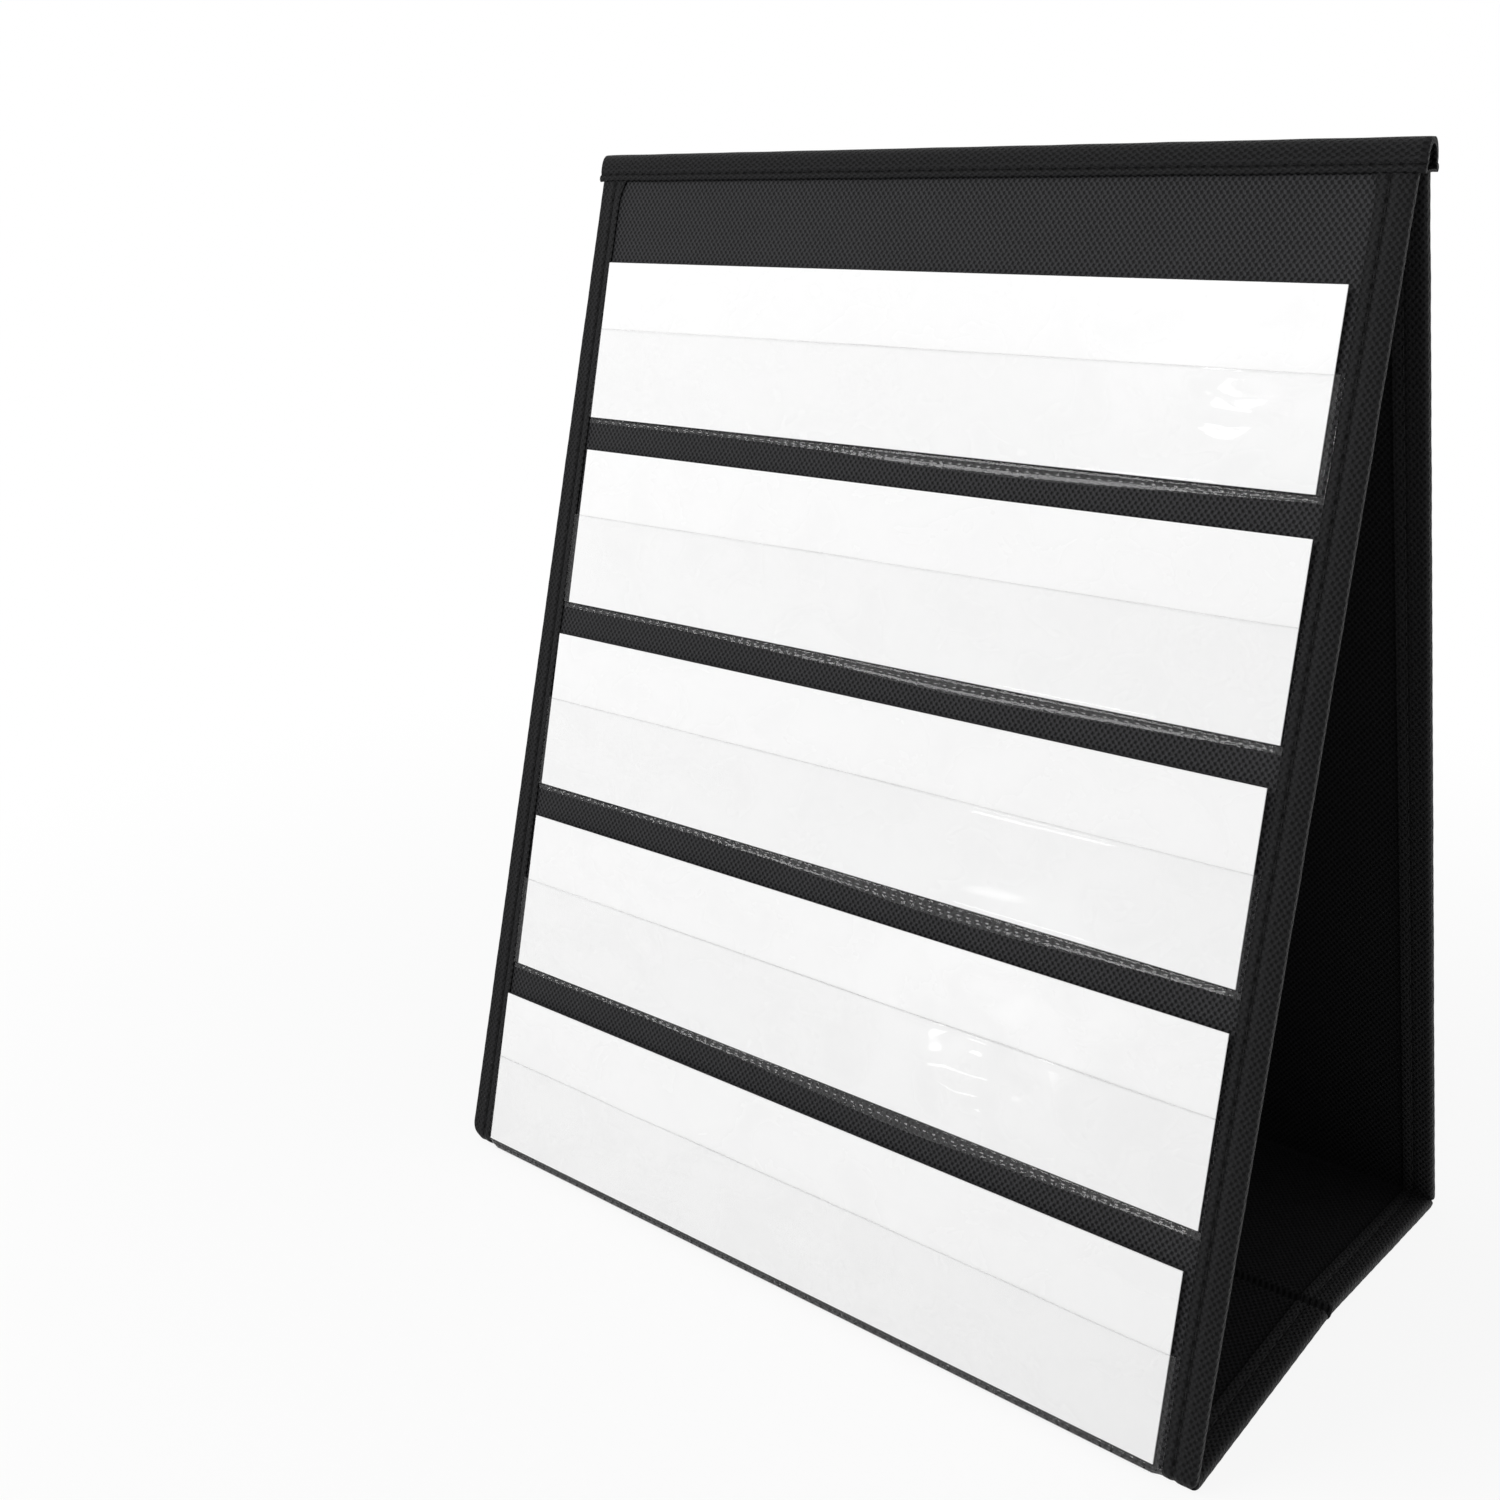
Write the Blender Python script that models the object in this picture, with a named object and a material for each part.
"""Tabletop pocket chart: a tent-shaped stand with clear pockets and white cards.

Metres, +Z up, X across the width, and the front faces -Y. The origin is on the table,
in the middle of the base. Four covered boards make one closed loop: the front panel,
the front and back halves of the base, and the back panel. Each panel or half has its own
frame: X across, Y along it away from its fold, Z out of the stand, and its origin on the
fold's axis. The back is the front turned half a turn about Z.
"""

import math

import bmesh
import bpy
from mathutils import Matrix, Vector

# Clearances
GAP = 0.0003
FOLD_AIR = 0.0002
CARD_PLAY = 0.0014
RAISE_CLEARANCE = 0.00095
OVERRUN = 0.002

# Cards
CARD_LENGTH = 0.300
CARD_HEIGHT = 0.065
CARD_THICKNESS = 0.0005
FRONT_PLAY_SHARES = (-0.7, 0.75, -0.1, 0.55, -0.8)
BACK_PLAY_SHARES = (0.3, -0.5, 0.6, 0.0, -0.3)

# Pockets
POCKET_DEPTH = 0.037
FILM_THICKNESS = 0.0003
HEM_HEIGHT = 0.006
LOWEST_HEM_HEIGHT = 0.003
BARE_BETWEEN = 0.0078
BARE_TOP = 0.0343
LOWEST_CARD_HEIGHT = 0.0045

# Panels
COVER_THICKNESS = 0.0005
BOARD_THICKNESS = 0.0014
LINING_THICKNESS = 0.0005
BOARD_INSET = 0.002
CORNER_RADIUS = 0.005
BASE_DEPTH = 0.218
CREASE_LIFT = 0.007

# Bindings, fold strips and crease seam
BINDING_WIDTH = 0.011
BINDING_THICKNESS = 0.0005
RIDGE_HEIGHT = 0.011
RIDGE_THICKNESS = 0.0012
RIDGE_OVERHANG = 0.002
RIDGE_ROUNDING = 0.003
STRIP_THICKNESS = 0.0007
SEAM_RADIUS = 0.0007
STRIP_FACET = math.radians(18)
ARC_STEPS = 6
SEAM_SIDES = 10

# Sizes that follow
POCKET_COUNT = len(FRONT_PLAY_SHARES)
CARD_PITCH = CARD_HEIGHT + HEM_HEIGHT + BARE_BETWEEN
CARD_LEAN = math.asin((CARD_THICKNESS + GAP + FILM_THICKNESS + RAISE_CLEARANCE) / CARD_PITCH)
SLANT_HEIGHT = (LOWEST_CARD_HEIGHT + (POCKET_COUNT - 1) * CARD_PITCH + CARD_HEIGHT
                + BARE_TOP + RIDGE_HEIGHT)
POCKET_HALF_WIDTH = CARD_LENGTH / 2 + CARD_PLAY + FILM_THICKNESS
HALF_WIDTH = POCKET_HALF_WIDTH + GAP + BINDING_WIDTH
SHEET_HALF_WIDTH = HALF_WIDTH - BINDING_THICKNESS - GAP

# Heights out of a fold's axis plane, from the inside of the stand to its outside
BINDING_INNER = FOLD_AIR
LINING_INNER = BINDING_INNER + BINDING_THICKNESS + GAP
BOARD_INNER = LINING_INNER + LINING_THICKNESS + GAP
COVER_INNER = BOARD_INNER + BOARD_THICKNESS + GAP
COVER_OUTER = COVER_INNER + COVER_THICKNESS
BINDING_OUTER = COVER_OUTER + GAP + BINDING_THICKNESS
CREASE_HEIGHT = BINDING_OUTER + FOLD_AIR

# The stand at rest, seen from the side
SHEET_STACK = COVER_OUTER - LINING_INNER + GAP / 2
TILT = (math.asin(BASE_DEPTH / 2 / math.hypot(SLANT_HEIGHT, SHEET_STACK))
        - math.atan2(SHEET_STACK, SLANT_HEIGHT))
BASE_SLOPE = math.atan2(CREASE_LIFT, BASE_DEPTH / 2)
FOLD_ANGLE = math.pi / 2 - TILT - BASE_SLOPE
CREASE_ANGLE = math.pi - 2 * BASE_SLOPE
CORNER = COVER_OUTER / math.tan(FOLD_ANGLE / 2)
STRIP_DROP = BINDING_OUTER - COVER_OUTER
STRIP_REACH = COVER_OUTER + STRIP_DROP + GAP
FOLD_Y = -BASE_DEPTH / 2 + CORNER * math.sin(TILT) + COVER_OUTER * math.cos(TILT)
FOLD_Z = STRIP_DROP + COVER_OUTER * math.cos(STRIP_FACET / 2)
HALF_LENGTH = (-FOLD_Y - CREASE_HEIGHT * math.sin(BASE_SLOPE)) / math.cos(BASE_SLOPE)
CREASE_Z = FOLD_Z + HALF_LENGTH * math.sin(BASE_SLOPE) - CREASE_HEIGHT * math.cos(BASE_SLOPE)
RIDGE_Z = (FOLD_Z + (SLANT_HEIGHT - CORNER) * math.cos(TILT)
           + COVER_OUTER * math.sin(TILT))
SHEET_TOP = ((RIDGE_Z - RIDGE_THICKNESS - GAP - FOLD_Z - COVER_OUTER * math.sin(TILT))
             / math.cos(TILT))
RIDGE_LEAF_END = SLANT_HEIGHT - CORNER - RIDGE_HEIGHT


def clear_scene():
    for thing in list(bpy.data.objects):
        bpy.data.objects.remove(thing, do_unlink=True)


def plain_material(name, colour, roughness, alpha=1.0):
    material = bpy.data.materials.new(name)
    material.use_nodes = True
    shader = material.node_tree.nodes["Principled BSDF"]
    shader.inputs["Base Color"].default_value = (*colour, 1.0)
    shader.inputs["Roughness"].default_value = roughness
    shader.inputs["Metallic"].default_value = 0.0
    shader.inputs["Alpha"].default_value = alpha
    material.diffuse_color = (*colour, alpha)
    material.roughness = roughness
    return material


def frame(name, location, rotation):
    """An empty on a joint's axis, which carries the pieces of one panel."""
    empty = bpy.data.objects.new(name, None)
    empty.matrix_world = Matrix.Translation(location) @ rotation
    bpy.context.collection.objects.link(empty)
    return empty


def piece(name, mesh, material, carrier, offset=Vector()):
    made = bpy.data.objects.new(name, mesh)
    mesh.materials.append(material)
    made.parent = carrier
    made.location = offset
    bpy.context.collection.objects.link(made)
    return made


def extruded(outline, low, high, place):
    """A closed mesh: the outline's points (a, b) drawn from low to high, set down by place."""
    shape = bmesh.new()
    corners = [shape.verts.new(place(a, b, low)) for a, b in outline]
    face = shape.faces.new(corners)
    pushed = bmesh.ops.extrude_face_region(shape, geom=[face])["geom"]
    step = place(0, 0, high) - place(0, 0, low)
    bmesh.ops.translate(shape, vec=step, verts=[v for v in pushed if isinstance(v, bmesh.types.BMVert)])
    bmesh.ops.recalc_face_normals(shape, faces=shape.faces)
    mesh = bpy.data.meshes.new("shape")
    shape.to_mesh(mesh)
    shape.free()
    return mesh


def across(outline, half_width):
    """A prism along X from an outline in the frame's Y and Z."""
    return extruded(outline, -half_width, half_width, lambda y, z, x: Vector((x, y, z)))


def plate(outline, low, high):
    """A flat sheet from an outline in the frame's X and Y, between two heights."""
    return extruded(outline, low, high, lambda x, y, z: Vector((x, y, z)))


def arc(centre, radius, start, end, steps=ARC_STEPS):
    turns = [start + (end - start) * step / steps for step in range(steps + 1)]
    return [(centre[0] + radius * math.cos(t), centre[1] + radius * math.sin(t)) for t in turns]


def rounded_corner(before, corner, after, radius):
    """The points of a round corner between the line to before and the line to after."""
    before, corner, after = Vector(before), Vector(corner), Vector(after)
    inward, outward = (before - corner).normalized(), (after - corner).normalized()
    half = inward.angle(outward) / 2
    centre = corner + (inward + outward).normalized() * radius / math.sin(half)
    first = corner + inward * radius / math.tan(half) - centre
    last = corner + outward * radius / math.tan(half) - centre
    start = math.atan2(first.y, first.x)
    turn = math.atan2(first.x * last.y - first.y * last.x, first.dot(last))
    return arc(centre, radius, start, start + turn)


def smooth_round(mesh):
    mesh.shade_smooth()
    mesh.set_sharp_from_angle(angle=STRIP_FACET * 2)


def cut(target, cutter_mesh, carrier, offset=Vector()):
    cutter = bpy.data.objects.new(target.name + "_cutter", cutter_mesh)
    cutter.parent = carrier
    cutter.location = offset
    cutter.hide_render = True
    cutter.display_type = "WIRE"
    bpy.context.collection.objects.link(cutter)
    boolean = target.modifiers.new("opening", "BOOLEAN")
    boolean.operation = "DIFFERENCE"
    boolean.object = cutter


def beside_strip(height):
    """How far from the fold's axis a layer starts, so that it turns clear of the fold strip."""
    return math.sqrt(STRIP_REACH**2 - height**2)


def sheet_outline(half_width, start, end, radius):
    """A rectangle whose two corners at the fold are rounded."""
    right = arc((half_width - radius, start + radius), radius, -math.pi / 2, 0)
    left = [(-x, y) for x, y in reversed(right)]
    return [*right, (half_width, end), (-half_width, end), *left]


def binding_outline(start, end):
    right = arc((HALF_WIDTH - CORNER_RADIUS, start + CORNER_RADIUS), CORNER_RADIUS, -math.pi / 2, 0)
    inner = HALF_WIDTH - BINDING_WIDTH
    return [(inner, start), *right, (HALF_WIDTH, end), (inner, end)]


def layers(name, carrier, offset, starts, end, binding_end, sides, materials):
    """A board between its outer cover and its lining, bound along both sides.

    The sides are the names of the frame's low and high X side, as seen from the stand's front.
    """
    cover_start, board_start, lining_start, binding_start = starts
    sheet_radius = CORNER_RADIUS - BINDING_THICKNESS - GAP
    board_half_width = SHEET_HALF_WIDTH - BOARD_INSET

    cover = sheet_outline(SHEET_HALF_WIDTH, cover_start, end, sheet_radius)
    piece(name + "_cover", plate(cover, COVER_INNER, COVER_OUTER), materials["cover"], carrier, offset)
    board = sheet_outline(board_half_width, board_start + BOARD_INSET, end - BOARD_INSET, sheet_radius)
    piece(name + "_board", plate(board, BOARD_INNER, BOARD_INNER + BOARD_THICKNESS),
          materials["board"], carrier, offset)
    lining = sheet_outline(SHEET_HALF_WIDTH, lining_start, end, sheet_radius)
    piece(name + "_lining", plate(lining, LINING_INNER, LINING_INNER + LINING_THICKNESS),
          materials["lining"], carrier, offset)

    room = sheet_outline(SHEET_HALF_WIDTH + GAP, binding_start - OVERRUN, end + OVERRUN, sheet_radius + GAP)
    for side, sign in zip(sides, (-1, 1)):
        outline = [(sign * x, y) for x, y in binding_outline(binding_start, binding_end)]
        binding = piece(f"{name}_binding_{side}", plate(outline, BINDING_INNER, BINDING_OUTER),
                        materials["binding"], carrier, offset)
        cut(binding, plate(room, LINING_INNER - GAP, COVER_OUTER + GAP), carrier, offset)


def fold_strip(name, carrier, material):
    """The fabric round a fold, open to the inside. It ends half a turn round, where the fold lies flat."""
    down = math.pi / 2 + TILT
    count = math.ceil(math.pi / STRIP_FACET)
    corners = [down + (step + 0.5) * STRIP_FACET for step in range(-count, count)]
    turns = [0, *(t for t in corners if 0 < t < math.pi), math.pi]
    inner_radius = COVER_OUTER - STRIP_THICKNESS
    drop_y, drop_z = -STRIP_DROP * math.cos(TILT), -STRIP_DROP * math.sin(TILT)
    outer = [(drop_y - COVER_OUTER * math.sin(t), drop_z + COVER_OUTER * math.cos(t)) for t in turns]
    inner = [(-inner_radius * math.sin(t), inner_radius * math.cos(t)) for t in reversed(turns)]
    mesh = across([*outer, *inner], HALF_WIDTH - CORNER_RADIUS)
    smooth_round(mesh)
    piece(name, mesh, material, carrier)


def ridge_binding(name, carrier, material):
    """Half of the binding over the ridge: a leaf down the panel and its half of the rounded top."""
    leaf_inner = COVER_OUTER + GAP
    leaf_outer = leaf_inner + RIDGE_THICKNESS

    def at(y, z):
        """A point given by its distance from the stand's middle and its height, in the panel's frame."""
        dy, dz = y - FOLD_Y, z - FOLD_Z
        return (dy * math.sin(TILT) + dz * math.cos(TILT), dz * math.sin(TILT) - dy * math.cos(TILT))

    def leaf_at(height, z):
        """The point of the leaf's face at that height out of the frame and that level."""
        return ((z - FOLD_Z - height * math.sin(TILT)) / math.cos(TILT), height)

    middle_top = at(-GAP / 2, RIDGE_Z)
    shoulder = leaf_at(leaf_outer, RIDGE_Z)
    outline = [
        (RIDGE_LEAF_END, leaf_inner),
        (RIDGE_LEAF_END, leaf_outer),
        *rounded_corner((RIDGE_LEAF_END, leaf_outer), shoulder, middle_top, RIDGE_ROUNDING),
        middle_top,
        at(-GAP / 2, RIDGE_Z - RIDGE_THICKNESS),
        leaf_at(leaf_inner, RIDGE_Z - RIDGE_THICKNESS),
    ]
    mesh = across(outline, HALF_WIDTH + RIDGE_OVERHANG)
    smooth_round(mesh)
    piece(name, mesh, material, carrier)


def leaning(bottom, along, out):
    """A point of a leaning card's own frame, in the panel's frame."""
    return (bottom + along * math.cos(CARD_LEAN) - out * math.sin(CARD_LEAN),
            COVER_OUTER + GAP + along * math.sin(CARD_LEAN) + out * math.cos(CARD_LEAN))


def pocket(name, carrier, bottom, hem_height, material):
    """A clear pocket, open at its top: its front sheet, its two sides, its seat and its sewn hem."""
    back = COVER_OUTER + GAP
    sheet_inner = CARD_THICKNESS + GAP
    sheet_outer = sheet_inner + FILM_THICKNESS
    mouth = leaning(bottom, POCKET_DEPTH, sheet_outer)
    seat = leaning(bottom, -GAP - FILM_THICKNESS, sheet_outer)
    outline = [
        (bottom - hem_height, back),
        (mouth[0], back),
        mouth,
        seat,
        (seat[0], back + FILM_THICKNESS),
        (bottom - hem_height, back + FILM_THICKNESS),
    ]
    made = piece(name, across(outline, POCKET_HALF_WIDTH), material, carrier)
    inside_mouth = leaning(bottom, POCKET_DEPTH + OVERRUN, sheet_inner)
    inside_seat = leaning(bottom, -GAP, sheet_inner)
    room = [
        (inside_seat[0], back - OVERRUN),
        (inside_mouth[0], back - OVERRUN),
        inside_mouth,
        inside_seat,
    ]
    cut(made, across(room, POCKET_HALF_WIDTH - FILM_THICKNESS), carrier)


def card(name, carrier, bottom, shift, material):
    """A card standing in its pocket. It leans out a little, so that it slides up past the next pocket."""
    half = CARD_LENGTH / 2
    outline = [(-half, 0), (half, 0), (half, CARD_HEIGHT), (-half, CARD_HEIGHT)]
    made = piece(name, plate(outline, 0, CARD_THICKNESS), material, carrier,
                 Vector((shift, bottom, COVER_OUTER + GAP)))
    made.rotation_euler.x = CARD_LEAN


def filled_pockets(name, carrier, play_shares, materials):
    """The pockets and their cards, numbered from the top."""
    for row, share in enumerate(play_shares):
        steps_up = POCKET_COUNT - 1 - row
        bottom = LOWEST_CARD_HEIGHT + steps_up * CARD_PITCH - CORNER
        hem_height = HEM_HEIGHT if steps_up else LOWEST_HEM_HEIGHT
        pocket(f"{name}_pocket_{row + 1}", carrier, bottom, hem_height, materials["film"])
        card(f"{name}_card_{row + 1}", carrier, bottom, share * CARD_PLAY, materials["card"])


def panel(name, carrier, sides, play_shares, materials):
    """The front or the back panel, with its ridge binding, its fold strip, its pockets and its cards."""
    starts = (GAP, GAP, GAP, GAP)
    layers(name, carrier, Vector(), starts, SHEET_TOP, RIDGE_LEAF_END - GAP, sides, materials)
    ridge_binding(f"{name}_ridge_binding", carrier, materials["binding"])
    fold_strip(f"{name}_fold_strip", carrier, materials["cover"])
    filled_pockets(name, carrier, play_shares, materials)


def base_half(name, carrier, offset, sides, materials):
    """One half of the base. Its cover is the underside, and its lining is the floor inside the stand."""
    starts = [beside_strip(height) for height in (COVER_INNER, BOARD_INNER, LINING_INNER, BINDING_INNER)]
    end = HALF_LENGTH - GAP / 2
    layers(name, carrier, offset, starts, end, end, sides, materials)


def crease_seam(carrier, material):
    """The sewn roll along the crease, on the crease's axis under the base."""
    half = POCKET_HALF_WIDTH
    outline = arc((HALF_LENGTH, CREASE_HEIGHT), SEAM_RADIUS, 0, 2 * math.pi, SEAM_SIDES)[:-1]
    mesh = across(outline, half)
    smooth_round(mesh)
    piece("crease_seam", mesh, material, carrier)


def main():
    clear_scene()
    materials = {
        "cover": plain_material("cover_fabric", (0.012, 0.012, 0.013), 0.75),
        "lining": plain_material("lining_fabric", (0.010, 0.010, 0.011), 0.85),
        "binding": plain_material("binding_tape", (0.016, 0.016, 0.018), 0.65),
        "board": plain_material("stiffening_board", (0.45, 0.45, 0.43), 0.6),
        "film": plain_material("clear_film", (0.85, 0.88, 0.90), 0.08, 0.3),
        "card": plain_material("white_card", (0.90, 0.90, 0.90), 0.25),
    }
    half_turn = Matrix.Rotation(math.pi, 4, "Z")
    panel_turn = Matrix.Rotation(math.pi / 2 - TILT, 4, "X")
    base_turn = half_turn @ Matrix.Rotation(math.pi - BASE_SLOPE, 4, "X")
    front_fold = Vector((0, FOLD_Y, FOLD_Z))
    back_fold = Vector((0, -FOLD_Y, FOLD_Z))
    crease = Vector((0, 0, CREASE_Z))

    front = frame("front_panel_frame", front_fold, panel_turn)
    back = frame("back_panel_frame", back_fold, half_turn @ panel_turn)
    base_front = frame("base_front_frame", front_fold, base_turn)
    base_back = frame("base_back_frame", crease, half_turn @ base_turn)

    panel("front", front, ("left", "right"), FRONT_PLAY_SHARES, materials)
    panel("back", back, ("right", "left"), BACK_PLAY_SHARES, materials)
    base_half("base_front", base_front, Vector(), ("right", "left"), materials)
    crease_seam(base_front, materials["binding"])
    to_crease = Vector((0, -HALF_LENGTH, -CREASE_HEIGHT))
    base_half("base_back", base_back, to_crease, ("left", "right"), materials)
    bpy.context.view_layer.update()


main()
